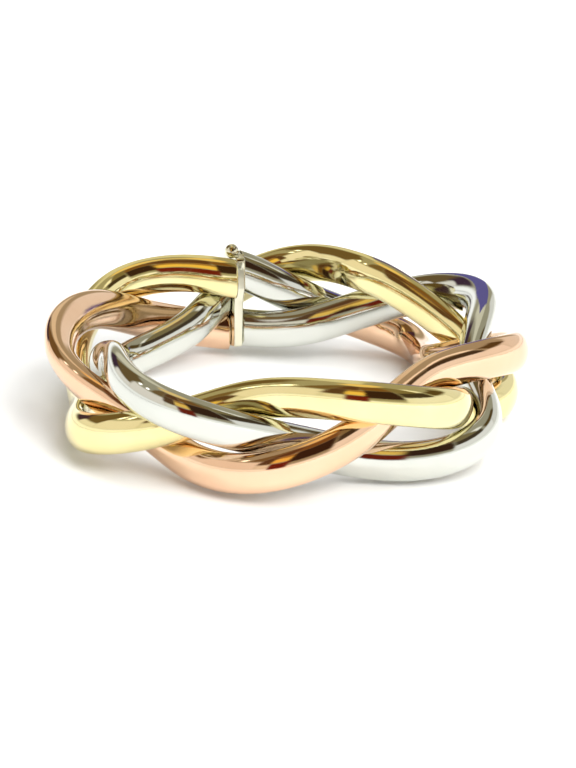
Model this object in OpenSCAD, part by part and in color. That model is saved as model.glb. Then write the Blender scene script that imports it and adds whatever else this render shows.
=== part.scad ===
// Braided band ring: three oval strands of yellow, white and rose gold plaited
// into one closed band, with their ends meeting at a thin upright plate.
// Lengths are millimetres and angles are degrees. Angles run round the band
// from its front (-Y), through +X, and the finger's axis is Z.

/* [Band] */
// Radius of the plait's middle line, from the finger's axis
band_radius = 10.5; // [10.5:0.1:13]

/* [Strands] */
// Height of a strand's oval section
strand_height = 2.06; // [1.70:0.02:2.08]
// Depth of a strand's oval section, from the finger side to the outside
strand_depth = 1.40; // [1.10:0.02:1.42]
// Number of sides of a strand's section
strand_sides = 16; // [12:2:20]
// Number of rings of points along a strand
strand_rings = 97; // [80:1:110]

/* [Joint plate] */
// Thickness of the plate that the strands' ends meet
plate_thickness = 0.5; // [0.40:0.05:0.70]
// Gap between a strand's end and the plate
plate_gap = 0.03; // [0.02:0.01:0.06]
// Diameter of the round knob on the plate's top edge
knob_diameter = 0.78; // [0.60:0.02:0.84]
// Diameter of the knob's foot
knob_foot = 0.42; // [0.30:0.02:0.50]

/* [Hidden] */

// Angle of the joint plate, at the back of the band
joint_turn = 194.2;

// Columns of the tables that a strand has: each holds an angle round the band
// and one value that the strand reaches there
TURN = 0;
VALUE = 1;

// Where each strand is at its highest and lowest, as the height of its middle
// above or below the band's middle plane: [TURN, VALUE]
yellow_levels = [
  [-220, -1.8], [-153, 1.7], [-83, -2.2], [18, 1.8], [95, -2.1], [156, 2.0], [236, -1.8]
];
white_levels = [
  [-199, 1.8], [-121, -2.0], [-48, 1.8], [34, -2.1], [109, 1.9], [190, -1.6]
];
rose_levels = [
  [-168, -2.0], [-99, 1.6], [-24, -2.1], [65, 1.8], [141, -2.3], [206, 2.0]
];

// Where each strand is at its furthest out (+) and in (-), as the distance of its
// middle from band_radius: [TURN, VALUE]
yellow_sways = [
  [-192, -1.5], [-165, -1.4], [-131, 1.6], [-84, -0.5], [-52, 1.1], [-11, -1.6],
  [38, 1.6], [73, -1.4], [102, 1.2], [150, -1.0], [181, 1.3], [215, -0.5]
];
white_sways = [
  [-177, 1.2], [-146, -1.3], [-122, -0.8], [-100, -1.6], [-68, -1.3], [-30, 1.2],
  [17, -1.9], [56, 1.4], [82, -0.9], [133, 1.3], [172, -1.3], [216, 0.8]
];
rose_sways = [
  [-188, -0.7], [-150, 0.7], [-118, -0.1], [-80, 0.7], [-42, -1.5], [0, 0.8],
  [47, -1.1], [84, 1.3], [123, -1.0], [150, 1.7], [184, -0.5], [215, 0.3]
];

// Where a strand's section leans, its top to the outside, in degrees: [TURN, VALUE]
yellow_leans = [[0, 0], [90, 0]];
white_leans = [[66, 0], [104, 35], [145, 0]];
rose_leans = [[-135, 0], [-88, 35], [-40, 0]];

// A strand's way round the band is its three tables
LEVELS = 0;
SWAYS = 1;
LEANS = 2;
yellow_way = [yellow_levels, yellow_sways, yellow_leans];
white_way = [white_levels, white_sways, white_leans];
rose_way = [rose_levels, rose_sways, rose_leans];

// Angle over which a strand's sections turn parallel to the plate near its ends
end_blend = 12;

// Outline of the plate, seen along its thickness: [distance outside band_radius, height]
plate_outline = [
  [-1.5, 2.6], [0.6, 2.6], [1.5, 2.0], [1.9, 0.6], [1.9, -2.2],
  [1.3, -3.0], [0.2, -2.8], [-1.2, -2.4], [-1.2, 0.2], [-1.5, 0.9]
];
plate_corner = 0.2;  // radius of the plate's rounded corners
corner_steps = 4;

// Place of the knob: distance outside band_radius, sideways along the band, height
knob_out = -0.5;
knob_side = 0.26;
knob_level = 2.72;
knob_root = 1.4;      // height in the plate that the knob's foot starts from

// ---- curves ----

function unit(v) = v / norm(v);
function limit(t) = max(0, min(1, t));

// Smooth change from 0 to 1 that starts and ends flat
function ease(t) = (1 - cos(180 * limit(t))) / 2;

// Row of a table that the angle lies in
function row_of(table, turn, k = 0) =
  k >= len(table) - 2 || turn < table[k + 1][TURN] ? k : row_of(table, turn, k + 1);

// Value of a table at an angle, gliding from row to row
function glide(table, turn) =
  let (
    k = row_of(table, turn),
    a = table[k],
    b = table[k + 1],
    t = ease((turn - a[TURN]) / (b[TURN] - a[TURN]))
  )
  a[VALUE] + (b[VALUE] - a[VALUE]) * t;

// Direction outward from the finger's axis, and direction onward round the band
function outward(turn) = [sin(turn), -cos(turn), 0];
function onward(turn) = [cos(turn), sin(turn), 0];

// Middle of a strand at an angle
function middle(way, turn) =
  (band_radius + glide(way[SWAYS], turn)) * outward(turn) + [0, 0, glide(way[LEVELS], turn)];

// Angle that keeps a strand's end clear of the plate's face
function end_angle(way, turn) =
  asin((plate_thickness / 2 + plate_gap) / (band_radius + glide(way[SWAYS], turn)));

// ---- one strand ----

// One ring of points: a leaning oval across the strand, which turns parallel to
// the plate as the strand comes to it
function strand_ring(way, turn, from_end) =
  let (
    p = middle(way, turn),
    along = unit(middle(way, turn + 0.2) - middle(way, turn - 0.2)),
    o = outward(turn),
    square = unit(o - (o * along) * along),
    upright = cross(square, along),
    lean = glide(way[LEANS], turn),
    side = square * cos(lean) - upright * sin(lean),
    rise = upright * cos(lean) + square * sin(lean),
    w = 1 - ease(from_end / end_blend),
    cut = unit(along * (1 - w) + onward(joint_turn) * w)
  )
  [for (s = [0 : strand_sides - 1])
    let (
      u = 360 * s / strand_sides,
      d = side * (strand_depth / 2 * cos(u)) + rise * (strand_height / 2 * sin(u)),
      slip = -(d * cut) / (along * cut)
    )
    p + d + along * slip
  ];

function strand_points(way) =
  let (
    first = joint_turn - 360 + end_angle(way, joint_turn - 360),
    last = joint_turn - end_angle(way, joint_turn)
  )
  [for (k = [0 : strand_rings - 1])
    let (turn = first + (last - first) * k / (strand_rings - 1))
    for (p = strand_ring(way, turn, min(turn - first, last - turn))) p
  ];

function strand_faces() =
  let (n = strand_sides, m = strand_rings)
  concat(
    [[for (s = [0 : n - 1]) n - 1 - s]],
    [[for (s = [0 : n - 1]) (m - 1) * n + s]],
    [for (k = [0 : m - 2], s = [0 : n - 1])
      let (a = k * n + s, b = k * n + (s + 1) % n)
      each [[a, b + n, a + n], [a, b, b + n]]]
  );

yellow_points = strand_points(yellow_way);
white_points = strand_points(white_way);
rose_points = strand_points(rose_way);

// The origin is under the middle of the band's box, on the surface it lies on
every_point = concat(yellow_points, white_points, rose_points);
function low(axis) = min([for (p = every_point) p[axis]]);
function high(axis) = max([for (p = every_point) p[axis]]);
to_rest = [-(low(0) + high(0)) / 2, -(low(1) + high(1)) / 2, -low(2)];

module strand(points) {
  translate(to_rest)
    polyhedron(points = points, faces = strand_faces(), convexity = 12);
}

// ---- joint plate ----

// Corner c of an outline, rounded by an arc between its two neighbours
function rounded_corner(list, c) =
  let (
    n = len(list),
    q = list[c],
    a = unit(list[(c + n - 1) % n] - q),
    b = unit(list[(c + 1) % n] - q),
    half = acos(a * b) / 2,
    centre = q + unit(a + b) * plate_corner / sin(half),
    start = q + a * plate_corner / tan(half),
    end = q + b * plate_corner / tan(half),
    v = start - centre,
    w = end - centre
  )
  [for (k = [0 : corner_steps])
    let (f = k / corner_steps)
    centre + plate_corner * unit(v * (1 - f) + w * f)
  ];

module at_joint() {
  translate(to_rest) rotate([0, 0, joint_turn - 90]) children();
}

module plate_blade() {
  rounded = [for (c = [0 : len(plate_outline) - 1]) each rounded_corner(plate_outline, c)];
  translate([band_radius, 0, 0])
    rotate([90, 0, 0])
      linear_extrude(height = plate_thickness, center = true)
        polygon(rounded);
}

module plate_knob() {
  translate([band_radius + knob_out, knob_side, knob_level])
    sphere(d = knob_diameter, $fn = 48);
  translate([band_radius + knob_out, 0, knob_root])
    cylinder(d = knob_foot, h = knob_level - knob_root, $fn = 32);
}

// ---- sub-parts ----

module strand_yellow() {
  color("gold") strand(yellow_points);
}

module strand_white() {
  color("gainsboro") strand(white_points);
}

module strand_rose() {
  color("lightsalmon") strand(rose_points);
}

module joint_plate() {
  color("palegoldenrod")
    at_joint()
      union() {
        plate_blade();
        plate_knob();
      }
}

strand_yellow();
strand_white();
strand_rose();
joint_plate();
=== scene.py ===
import math

import bmesh
import bpy
from mathutils import Matrix, Vector


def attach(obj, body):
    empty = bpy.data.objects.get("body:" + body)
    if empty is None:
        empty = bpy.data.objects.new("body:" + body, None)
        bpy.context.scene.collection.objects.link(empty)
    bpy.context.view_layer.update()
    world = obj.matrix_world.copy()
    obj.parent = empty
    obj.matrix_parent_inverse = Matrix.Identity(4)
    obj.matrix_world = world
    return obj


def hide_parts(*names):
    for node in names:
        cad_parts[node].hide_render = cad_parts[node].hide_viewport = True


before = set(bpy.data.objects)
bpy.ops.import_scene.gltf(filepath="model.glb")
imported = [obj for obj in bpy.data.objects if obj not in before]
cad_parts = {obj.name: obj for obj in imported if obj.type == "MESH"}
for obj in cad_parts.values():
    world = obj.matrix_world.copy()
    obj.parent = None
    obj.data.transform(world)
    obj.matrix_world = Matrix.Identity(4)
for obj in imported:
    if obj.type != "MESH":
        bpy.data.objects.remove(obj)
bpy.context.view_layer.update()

MM = 0.001

# ---------------------------------------------------------------------------
# The band's own rule, as the construction states it: angles in degrees round
# the band from its front, lengths in millimetres.
# ---------------------------------------------------------------------------
BAND_RADIUS = 10.5
STRAND_HEIGHT = 2.06
STRAND_DEPTH = 1.40
JOINT_TURN = 194.2
PLATE_THICKNESS = 0.5
PLATE_GAP = 0.03
END_BLEND = 12.0

# columns: angle, height of the strand's middle
LEVELS = {
    "yellow": [(-220, -1.8), (-153, 1.7), (-83, -2.2), (18, 1.8), (95, -2.1), (156, 2.0), (236, -1.8)],
    "white": [(-199, 1.8), (-121, -2.0), (-48, 1.8), (34, -2.1), (109, 1.9), (190, -1.6)],
    "rose": [(-168, -2.0), (-99, 1.6), (-24, -2.1), (65, 1.8), (141, -2.3), (206, 2.0)],
}
# columns: angle, distance of the strand's middle outside the band's radius
SWAYS = {
    "yellow": [(-192, -1.5), (-165, -1.4), (-131, 1.6), (-84, -0.5), (-52, 1.1), (-11, -1.6),
               (38, 1.6), (73, -1.4), (102, 1.2), (150, -1.0), (181, 1.3), (215, -0.5)],
    "white": [(-177, 1.2), (-146, -1.3), (-122, -0.8), (-100, -1.6), (-68, -1.3), (-30, 1.2),
              (17, -1.9), (56, 1.4), (82, -0.9), (133, 1.3), (172, -1.3), (216, 0.8)],
    "rose": [(-188, -0.7), (-150, 0.7), (-118, -0.1), (-80, 0.7), (-42, -1.5), (0, 0.8),
             (47, -1.1), (84, 1.3), (123, -1.0), (150, 1.7), (184, -0.5), (215, 0.3)],
}
# columns: angle, lean of the section, its top to the outside, in degrees
LEANS = {
    "yellow": [(0, 0), (90, 0)],
    "white": [(66, 0), (104, 35), (145, 0)],
    "rose": [(-135, 0), (-88, 35), (-40, 0)],
}


def ease(t):
    return (1 - math.cos(math.pi * max(0.0, min(1.0, t)))) / 2


def glide(table, turn):
    k = 0
    while k < len(table) - 2 and turn >= table[k + 1][0]:
        k += 1
    a, b = table[k], table[k + 1]
    return a[1] + (b[1] - a[1]) * ease((turn - a[0]) / (b[0] - a[0]))


def outward(turn):
    a = math.radians(turn)
    return Vector((math.sin(a), -math.cos(a), 0))


def onward(turn):
    a = math.radians(turn)
    return Vector((math.cos(a), math.sin(a), 0))


def middle(name, turn):
    return outward(turn) * (BAND_RADIUS + glide(SWAYS[name], turn)) + Vector((0, 0, glide(LEVELS[name], turn)))


def end_angle(name, turn):
    return math.degrees(math.asin((PLATE_THICKNESS / 2 + PLATE_GAP) / (BAND_RADIUS + glide(SWAYS[name], turn))))


def span(name):
    return JOINT_TURN - 360 + end_angle(name, JOINT_TURN - 360), JOINT_TURN - end_angle(name, JOINT_TURN)


def ring(name, turn, sides, first, last):
    p = middle(name, turn)
    along = (middle(name, turn + 0.2) - middle(name, turn - 0.2)).normalized()
    o = outward(turn)
    square = (o - along * o.dot(along)).normalized()
    upright = square.cross(along)
    lean = math.radians(glide(LEANS[name], turn))
    side = square * math.cos(lean) - upright * math.sin(lean)
    rise = upright * math.cos(lean) + square * math.sin(lean)
    w = 1 - ease(min(turn - first, last - turn) / END_BLEND)
    cut = (along * (1 - w) + onward(JOINT_TURN) * w).normalized()
    out = []
    for s in range(sides):
        u = 2 * math.pi * s / sides
        d = side * (STRAND_DEPTH / 2 * math.cos(u)) + rise * (STRAND_HEIGHT / 2 * math.sin(u))
        out.append(p + d + along * (-d.dot(cut) / along.dot(cut)))
    return out


# The construction puts the origin under the middle of the whole band's box.
CAD_SIDES, CAD_RINGS = 16, 97


def to_rest():
    lo, hi = [1e9] * 3, [-1e9] * 3
    for name in LEVELS:
        first, last = span(name)
        for k in range(CAD_RINGS):
            turn = first + (last - first) * k / (CAD_RINGS - 1)
            for p in ring(name, turn, CAD_SIDES, first, last):
                for i in range(3):
                    lo[i], hi[i] = min(lo[i], p[i]), max(hi[i], p[i])
    return Vector((-(lo[0] + hi[0]) / 2, -(lo[1] + hi[1]) / 2, -lo[2]))


REST = to_rest()


# ---------------------------------------------------------------------------
# Mesh helpers
# ---------------------------------------------------------------------------
def link(name, mesh, material, node=None):
    o = bpy.data.objects.new(name, mesh)
    bpy.context.scene.collection.objects.link(o)
    mesh.materials.append(material)
    if node:
        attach(o, "root")
        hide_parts(node)
    return o


def smooth(mesh):
    for p in mesh.polygons:
        p.use_smooth = True


def sweep_mesh(name, strand, start, stop, steps, sides, cap_start=True, cap_stop=True):
    """The strand between two angles as a smooth closed tube with flat end caps; towards the plate its sections turn
    to lie along the plate's faces.
    """
    first, last = span(strand)
    bm = bmesh.new()
    rows = []
    for k in range(steps + 1):
        turn = start + (stop - start) * k / steps
        rows.append([bm.verts.new((p + REST) * MM) for p in ring(strand, turn, sides, first, last)])
    for a, b in zip(rows, rows[1:]):
        for s in range(sides):
            f = bm.faces.new((a[s], b[s], b[(s + 1) % sides], a[(s + 1) % sides]))
            f.smooth = True
    if cap_start:
        bm.faces.new(rows[0])
    if cap_stop:
        bm.faces.new(list(reversed(rows[-1])))
    bmesh.ops.recalc_face_normals(bm, faces=bm.faces)
    # lengthwise and crosswise map, in millimetres, for the polish lines
    uv = bm.loops.layers.uv.new("along")
    place = {}
    for k, row in enumerate(rows):
        for s, v in enumerate(row):
            place[v] = (k, s)
    length = math.radians(stop - start) * BAND_RADIUS
    for f in bm.faces:
        at = [place[l.vert] for l in f.loops]
        wrap = max(s for _, s in at) == sides - 1 and min(s for _, s in at) == 0
        for l in f.loops:
            k, s = place[l.vert]
            if wrap and s == 0:
                s = sides
            l[uv].uv = (length * k / steps, 5.5 * s / sides)
    mesh = bpy.data.meshes.new(name)
    bm.to_mesh(mesh)
    bm.free()
    return mesh


# ---------------------------------------------------------------------------
# Materials
# ---------------------------------------------------------------------------
def node_tree(name):
    m = bpy.data.materials.new(name)
    m.use_nodes = True
    t = m.node_tree
    t.nodes.clear()
    return m, t


def add(t, kind, inputs=None, **props):
    n = t.nodes.new(kind)
    for k, v in props.items():
        setattr(n, k, v)
    for k, v in (inputs or {}).items():
        if isinstance(v, bpy.types.NodeSocket):
            t.links.new(v, n.inputs[k])
        else:
            n.inputs[k].default_value = v
    return n


def gold(name, light, deep, rough=(0.035, 0.085)):
    """Polished gold alloy: a slight cloudiness in the colour, softer and sharper patches of polish,
    and hair-fine lines left by the buffing wheel."""
    m, t = node_tree(name)
    out = add(t, "ShaderNodeOutputMaterial")
    pos = add(t, "ShaderNodeTexCoord").outputs["Object"]
    uv = add(t, "ShaderNodeUVMap", uv_map="along").outputs["UV"]
    cloud = add(t, "ShaderNodeTexNoise", {"Vector": pos, "Scale": 420.0, "Detail": 3.0, "Roughness": 0.55})
    tint = add(t, "ShaderNodeValToRGB", {"Fac": cloud.outputs["Fac"]})
    tint.color_ramp.elements[0].position, tint.color_ramp.elements[0].color = 0.32, (*deep, 1)
    tint.color_ramp.elements[1].position, tint.color_ramp.elements[1].color = 0.68, (*light, 1)
    polish = add(t, "ShaderNodeTexNoise", {"Vector": pos, "Scale": 900.0, "Detail": 4.0, "Roughness": 0.6})
    how = add(t, "ShaderNodeMapRange", {"Value": polish.outputs["Fac"], "From Min": 0.3, "From Max": 0.7,
                                        "To Min": rough[0], "To Max": rough[1]})
    stretch = add(t, "ShaderNodeMapping", {"Vector": uv, "Scale": (1.3, 16.0, 1.0)})
    lines = add(t, "ShaderNodeTexNoise", {"Vector": stretch.outputs["Vector"], "Scale": 2.2, "Detail": 5.0,
                                          "Roughness": 0.7})
    dents = add(t, "ShaderNodeTexNoise", {"Vector": pos, "Scale": 1500.0, "Detail": 2.0, "Roughness": 0.5})
    b1 = add(t, "ShaderNodeBump", {"Strength": 0.05, "Distance": 0.00002, "Height": lines.outputs["Fac"]})
    b2 = add(t, "ShaderNodeBump", {"Strength": 0.05, "Distance": 0.00003, "Height": dents.outputs["Fac"],
                                   "Normal": b1.outputs["Normal"]})
    s = add(t, "ShaderNodeBsdfPrincipled", {"Base Color": tint.outputs["Color"], "Metallic": 1.0,
                                            "Roughness": how.outputs["Result"], "Normal": b2.outputs["Normal"]})
    t.links.new(s.outputs["BSDF"], out.inputs["Surface"])
    return m


yellow_gold = gold("yellow_gold_polished", (0.86, 0.77, 0.42), (0.83, 0.73, 0.37))
white_gold = gold("white_gold_polished", (0.68, 0.69, 0.64), (0.65, 0.66, 0.61))
rose_gold = gold("rose_gold_polished", (0.87, 0.60, 0.41), (0.84, 0.56, 0.37))
plate_gold = gold("plate_gold_polished", (0.76, 0.74, 0.60), (0.73, 0.70, 0.53), rough=(0.06, 0.12))

# ---------------------------------------------------------------------------
# Strands. The rose strand is in white metal from where the white strand hides
# it to the plate, as the photograph shows it.
# ---------------------------------------------------------------------------
SIDES = 48
WHITE_END = 163.0


def strand(name, colour, start, stop, material, cap_start=True, cap_stop=True):
    steps = max(24, int((stop - start) * 1.8))
    mesh = sweep_mesh(name, colour, start, stop, steps, SIDES, cap_start, cap_stop)
    return link(name, mesh, material, "strand_" + colour)


# the ends reach on to the solder at the plate's faces
SOLDER = 0.1
y0, y1 = span("yellow")[0] - SOLDER, span("yellow")[1] + SOLDER
w0, w1 = span("white")[0] - SOLDER, span("white")[1] + SOLDER
r0, r1 = span("rose")[0] - SOLDER, span("rose")[1] + SOLDER
strand("yellow_tube", "yellow", y0, y1, yellow_gold)
strand("white_tube", "white", w0, w1, white_gold)
strand("rose_tube", "rose", r0, WHITE_END, rose_gold)
strand("rose_tube_white_end", "rose", WHITE_END, r1, white_gold)

# ---------------------------------------------------------------------------
# Joint plate: blade, knob and the knob's foot, edges softened
# ---------------------------------------------------------------------------
PLATE_OUTLINE = [(-1.5, 2.6), (0.6, 2.6), (1.5, 2.0), (1.9, 0.6), (1.9, -2.2),
                 (1.3, -3.0), (0.2, -2.8), (-1.2, -2.4), (-1.2, 0.2), (-1.5, 0.9)]
AT_JOINT = Matrix.Translation(REST) @ Matrix.Rotation(math.radians(JOINT_TURN - 90), 4, "Z")


def rounded(outline, radius, steps):
    out, n = [], len(outline)
    for c in range(n):
        q = Vector(outline[c])
        a = (Vector(outline[c - 1]) - q).normalized()
        b = (Vector(outline[(c + 1) % n]) - q).normalized()
        half = math.acos(max(-1, min(1, a.dot(b)))) / 2
        centre = q + (a + b).normalized() * radius / math.sin(half)
        v = q + a * radius / math.tan(half) - centre
        w = q + b * radius / math.tan(half) - centre
        for k in range(steps + 1):
            out.append(centre + (v.lerp(w, k / steps)).normalized() * radius)
    return out


def slab(name, outline, place, low, high, bevel, material):
    """A flat outline thickened from low to high, with softened edges. place(a, b, t) gives each point."""
    bm = bmesh.new()
    bottom = [bm.verts.new((AT_JOINT @ place(p[0], p[1], low)) * MM) for p in outline]
    top = [bm.verts.new((AT_JOINT @ place(p[0], p[1], high)) * MM) for p in outline]
    bm.faces.new(bottom)
    bm.faces.new(list(reversed(top)))
    n = len(outline)
    for i in range(n):
        bm.faces.new((bottom[i], top[i], top[(i + 1) % n], bottom[(i + 1) % n]))
    bmesh.ops.recalc_face_normals(bm, faces=bm.faces)
    rim = [e for e in bm.edges if (e.verts[0] in set(bottom)) == (e.verts[1] in set(bottom))]
    bmesh.ops.bevel(bm, geom=rim, offset=bevel * MM, segments=4, profile=0.5, affect="EDGES", clamp_overlap=True)
    bm.loops.layers.uv.new("along")
    mesh = bpy.data.meshes.new(name)
    bm.to_mesh(mesh)
    bm.free()
    smooth(mesh)
    o = link(name, mesh, material, "joint_plate")
    return o


def blade_point(a, b, t):
    """The blade thins towards its lower tip."""
    return Vector((BAND_RADIUS + a, t * (1 - 0.12 * ease((-0.8 - b) / 1.6)), b))


slab("plate_blade", rounded(PLATE_OUTLINE, 0.2, 8), blade_point,
     -PLATE_THICKNESS / 2, PLATE_THICKNESS / 2, 0.07, plate_gold)


def turned(name, profile, centre, steps, material):
    """A round piece about a vertical axis. profile rows: radius, height."""
    bm = bmesh.new()
    rows = []
    for r, h in profile:
        if r < 1e-6:
            rows.append([bm.verts.new((AT_JOINT @ (centre + Vector((0, 0, h)))) * MM)])
        else:
            rows.append([bm.verts.new((AT_JOINT @ (centre + Vector((r * math.cos(2 * math.pi * k / steps),
                                                                    r * math.sin(2 * math.pi * k / steps), h)))) * MM)
                         for k in range(steps)])
    for a, b in zip(rows, rows[1:]):
        for k in range(steps):
            j = (k + 1) % steps
            if len(a) == 1:
                bm.faces.new((a[0], b[k], b[j]))
            elif len(b) == 1:
                bm.faces.new((a[k], b[0], a[j]))
            else:
                bm.faces.new((a[k], b[k], b[j], a[j]))
    bmesh.ops.recalc_face_normals(bm, faces=bm.faces)
    bm.loops.layers.uv.new("along")
    mesh = bpy.data.meshes.new(name)
    bm.to_mesh(mesh)
    bm.free()
    smooth(mesh)
    return link(name, mesh, material, "joint_plate")


KNOB = 0.39
ball = [(KNOB * math.sin(math.pi * k / 24), -KNOB * math.cos(math.pi * k / 24)) for k in range(25)]
turned("plate_knob", ball, Vector((BAND_RADIUS - 0.5, 0.26, 2.72)), 40, plate_gold)
foot = [(0.0, 1.5), (0.21, 1.5), (0.21, 2.5), (0.19, 2.62), (0.12, 2.7), (0.0, 2.72)]
turned("plate_foot", foot, Vector((BAND_RADIUS - 0.5, 0.0, 0.0)), 32, plate_gold)

# ---------------------------------------------------------------------------
# Floor
# ---------------------------------------------------------------------------
m, t = node_tree("pale_floor")
out = add(t, "ShaderNodeOutputMaterial")
pos = add(t, "ShaderNodeTexCoord").outputs["Object"]
mottle = add(t, "ShaderNodeTexNoise", {"Vector": pos, "Scale": 60.0, "Detail": 2.0, "Roughness": 0.5})
pale = add(t, "ShaderNodeValToRGB", {"Fac": mottle.outputs["Fac"]})
pale.color_ramp.elements[0].color = (0.90, 0.90, 0.89, 1)
pale.color_ramp.elements[1].color = (0.92, 0.92, 0.91, 1)
s = add(t, "ShaderNodeBsdfPrincipled", {"Base Color": pale.outputs["Color"], "Roughness": 0.6,
                                        "Specular IOR Level": 0.1})
t.links.new(s.outputs["BSDF"], out.inputs["Surface"])
bm = bmesh.new()
bmesh.ops.create_grid(bm, x_segments=8, y_segments=8, size=1.5)
mesh = bpy.data.meshes.new("floor")
bm.to_mesh(mesh)
bm.free()
floor = link("floor", mesh, m)
floor.location.z = -0.00003

# ---------------------------------------------------------------------------
# Surroundings: a bright room, a dark mass in front of the ring above its table,
# brighter walls to the sides and two small ceiling lights at the left. Rows:
# azimuth from/to (0 is the front, + to the right), elevation from/to, edge
# softness, colour.
# ---------------------------------------------------------------------------
world = bpy.data.worlds.new("surroundings")
bpy.context.scene.world = world
world.use_nodes = True
t = world.node_tree
t.nodes.clear()
wout = add(t, "ShaderNodeOutputWorld")
d = add(t, "ShaderNodeTexCoord").outputs["Generated"]
xyz = add(t, "ShaderNodeSeparateXYZ", {"Vector": d})


def math_node(op, a, b=None, c=None):
    ins = {0: a}
    if b is not None:
        ins[1] = b
    if c is not None:
        ins[2] = c
    return add(t, "ShaderNodeMath", ins, operation=op).outputs[0]


elev = math_node("DEGREES", math_node("ARCSINE", xyz.outputs["Z"]))
azim = math_node("DEGREES", math_node("ARCTAN2", xyz.outputs["X"], math_node("MULTIPLY", xyz.outputs["Y"], -1.0)))


def between(v, lo, hi, soft):
    up = add(t, "ShaderNodeMapRange", {"Value": v, "From Min": lo - soft, "From Max": lo + soft},
             interpolation_type="SMOOTHSTEP").outputs["Result"]
    down = add(t, "ShaderNodeMapRange", {"Value": v, "From Min": hi - soft, "From Max": hi + soft,
                                         "To Min": 1.0, "To Max": 0.0},
               interpolation_type="SMOOTHSTEP").outputs["Result"]
    return math_node("MULTIPLY", up, down)


PATCHES = [
    ((-400, 400), (-90, 8), 4.0, (1.40, 1.40, 1.37)),
    ((-400, 400), (78, 100), 3.0, (1.10, 0.78, 0.30)),
    ((38, 112), (8, 29), 3.0, (1.15, 1.13, 1.08)),
    ((112, 160), (8, 32), 3.0, (1.00, 0.98, 0.92)),
    ((40, 78), (44, 78), 3.0, (0.28, 0.22, 0.10)),
    ((40, 84), (27, 46), 2.5, (0.08, 0.055, 0.03)),
    ((90, 130), (31, 46), 2.5, (0.13, 0.08, 0.025)),
    ((78, 90), (47, 64), 2.5, (1.30, 1.25, 1.10)),
    ((176, 400), (20, 75), 3.0, (0.90, 0.84, 0.64)),
    ((-400, -158), (20, 75), 3.0, (0.90, 0.84, 0.64)),
    ((-150, -95), (20, 58), 3.0, (0.20, 0.13, 0.05)),
    ((-156, -126), (9, 24), 3.0, (0.07, 0.035, 0.06)),
    ((-130, -94), (8, 20), 3.0, (1.10, 1.04, 0.95)),
    ((-95, -36), (8, 37), 3.0, (1.10, 1.02, 0.92)),
    ((-36, -19), (8, 22), 3.0, (1.05, 0.98, 0.82)),
    ((-38, -21), (24, 50), 2.5, (0.14, 0.07, 0.03)),
    ((-60, -38), (41, 76), 3.0, (0.24, 0.15, 0.06)),
    ((-38, -9), (50, 76), 3.0, (0.16, 0.07, 0.025)),
    ((-9, 40), (54, 77), 3.0, (0.26, 0.12, 0.03)),
    ((-4, 38), (18, 54), 2.5, (0.055, 0.025, 0.012)),
    ((-20, 0), (3, 23), 2.0, (0.20, 0.022, 0.008)),
    ((-21, -3), (40, 50), 2.0, (0.50, 0.26, 0.06)),
    ((-21, -3), (26, 41), 2.0, (1.15, 0.72, 0.14)),
    ((-90, -84), (42, 48), 1.5, (4.00, 3.95, 3.80)),
    ((-72, -66), (42, 48), 1.5, (4.00, 3.95, 3.80)),
]
SKY = (0.48, 0.44, 0.31, 1)
colour = add(t, "ShaderNodeRGB")
colour.outputs[0].default_value = SKY
colour = colour.outputs[0]
for (a0, a1), (e0, e1), soft, rgb in PATCHES:
    mask = math_node("MULTIPLY", between(azim, a0, a1, soft), between(elev, e0, e1, soft))
    mix = add(t, "ShaderNodeMix", {"Factor": mask}, data_type="RGBA")
    t.links.new(colour, mix.inputs[6])
    mix.inputs[7].default_value = (*rgb, 1)
    colour = mix.outputs[2]
seen = add(t, "ShaderNodeBackground", {"Color": (1, 1, 1, 1), "Strength": 1.05})
soft = add(t, "ShaderNodeBackground", {"Color": (0.97, 0.99, 1.0, 1), "Strength": 0.40})
lit = add(t, "ShaderNodeBackground", {"Color": colour, "Strength": 0.90})
ray = add(t, "ShaderNodeLightPath")
fill = add(t, "ShaderNodeMixShader", {0: ray.outputs["Is Diffuse Ray"], 1: lit.outputs[0], 2: soft.outputs[0]})
both = add(t, "ShaderNodeMixShader", {0: ray.outputs["Is Camera Ray"], 1: fill.outputs[0], 2: seen.outputs[0]})
t.links.new(both.outputs[0], wout.inputs["Surface"])

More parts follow.
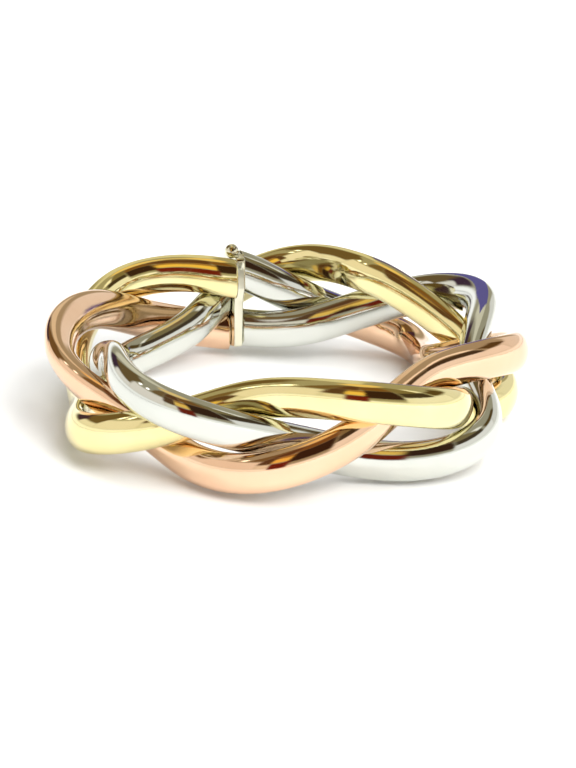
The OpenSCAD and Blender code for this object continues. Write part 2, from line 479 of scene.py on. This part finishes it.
# soft lamps, rows: name, azimuth, elevation, distance, size, power. The overhead
# one lights the whole table, and the one on the right gives the shadows their side.
# Their own images are kept out of the metal.
LAMPS = [
    ("overhead_lamp", 60.0, 80.0, 0.50, 0.5, 1.7),
    ("right_lamp", 95.0, 30.0, 0.50, 0.3, 0.7),
    ("front_lamp", 32.0, 38.0, 0.50, 0.3, 2.5),
]
for name, az, el, away, size, power in LAMPS:
    a, e = math.radians(az), math.radians(el)
    towards = Vector((math.sin(a) * math.cos(e), -math.cos(a) * math.cos(e), math.sin(e)))
    lamp = bpy.data.lights.new(name, "AREA")
    lamp.shape = "DISK"
    lamp.size = size
    lamp.energy = power
    o = bpy.data.objects.new(name, lamp)
    bpy.context.scene.collection.objects.link(o)
    o.location = towards * away
    o.rotation_euler = towards.to_track_quat("Z", "Y").to_euler()
    o.visible_glossy = False
    o.visible_camera = False

# one small violet card close behind the band, seen only in the metal
m, t = node_tree("violet_card")
out = add(t, "ShaderNodeOutputMaterial")
glow = add(t, "ShaderNodeEmission", {"Color": (0.42, 0.36, 1.0, 1), "Strength": 0.36})
t.links.new(glow.outputs[0], out.inputs["Surface"])
bm = bmesh.new()
corners = [(5.5, 7.0), (11.8, 7.0), (11.8, 16.5), (5.5, 16.5)]
bm.faces.new([bm.verts.new(Vector((x, 16.0, z)) * MM) for x, z in corners])
mesh = bpy.data.meshes.new("violet_card")
bm.to_mesh(mesh)
bm.free()
card = link("violet_card", mesh, m)
card.visible_camera = False
card.visible_diffuse = False
card.visible_shadow = False

# ---------------------------------------------------------------------------
# Camera
# ---------------------------------------------------------------------------
ELEVATION, DISTANCE, ROLL = 19.65, 191.7, 0.98
FOCAL_PX, AIM_X, AIM_Y = 3787.0, 6.8, 22.0
e = math.radians(ELEVATION)
spot = REST * MM
eye = spot + Vector((0, -math.cos(e), math.sin(e))) * DISTANCE * MM
fwd = (spot - eye).normalized()
right = fwd.cross(Vector((0, 0, 1))).normalized()
up = right.cross(fwd)
a = math.radians(ROLL)
r2 = right * math.cos(a) + up * math.sin(a)
u2 = -right * math.sin(a) + up * math.cos(a)
aim = (fwd + r2 * (AIM_X / FOCAL_PX) - u2 * (AIM_Y / FOCAL_PX)).normalized()
side = (r2 - aim * r2.dot(aim)).normalized()
top = side.cross(aim)
cam = bpy.data.cameras.new("camera")
cam.sensor_width = 36.0
cam.lens = FOCAL_PX * 36.0 / 768.0
cam.clip_start, cam.clip_end = 0.005, 20.0
camera = bpy.data.objects.new("camera", cam)
bpy.context.scene.collection.objects.link(camera)
camera.matrix_world = Matrix.Translation(eye) @ Matrix((side, top, -aim)).transposed().to_4x4()
bpy.context.scene.camera = camera

view = bpy.context.scene.view_settings
view.view_transform = "Standard"
view.look = "None"
view.exposure = 0.0
view.gamma = 1.0
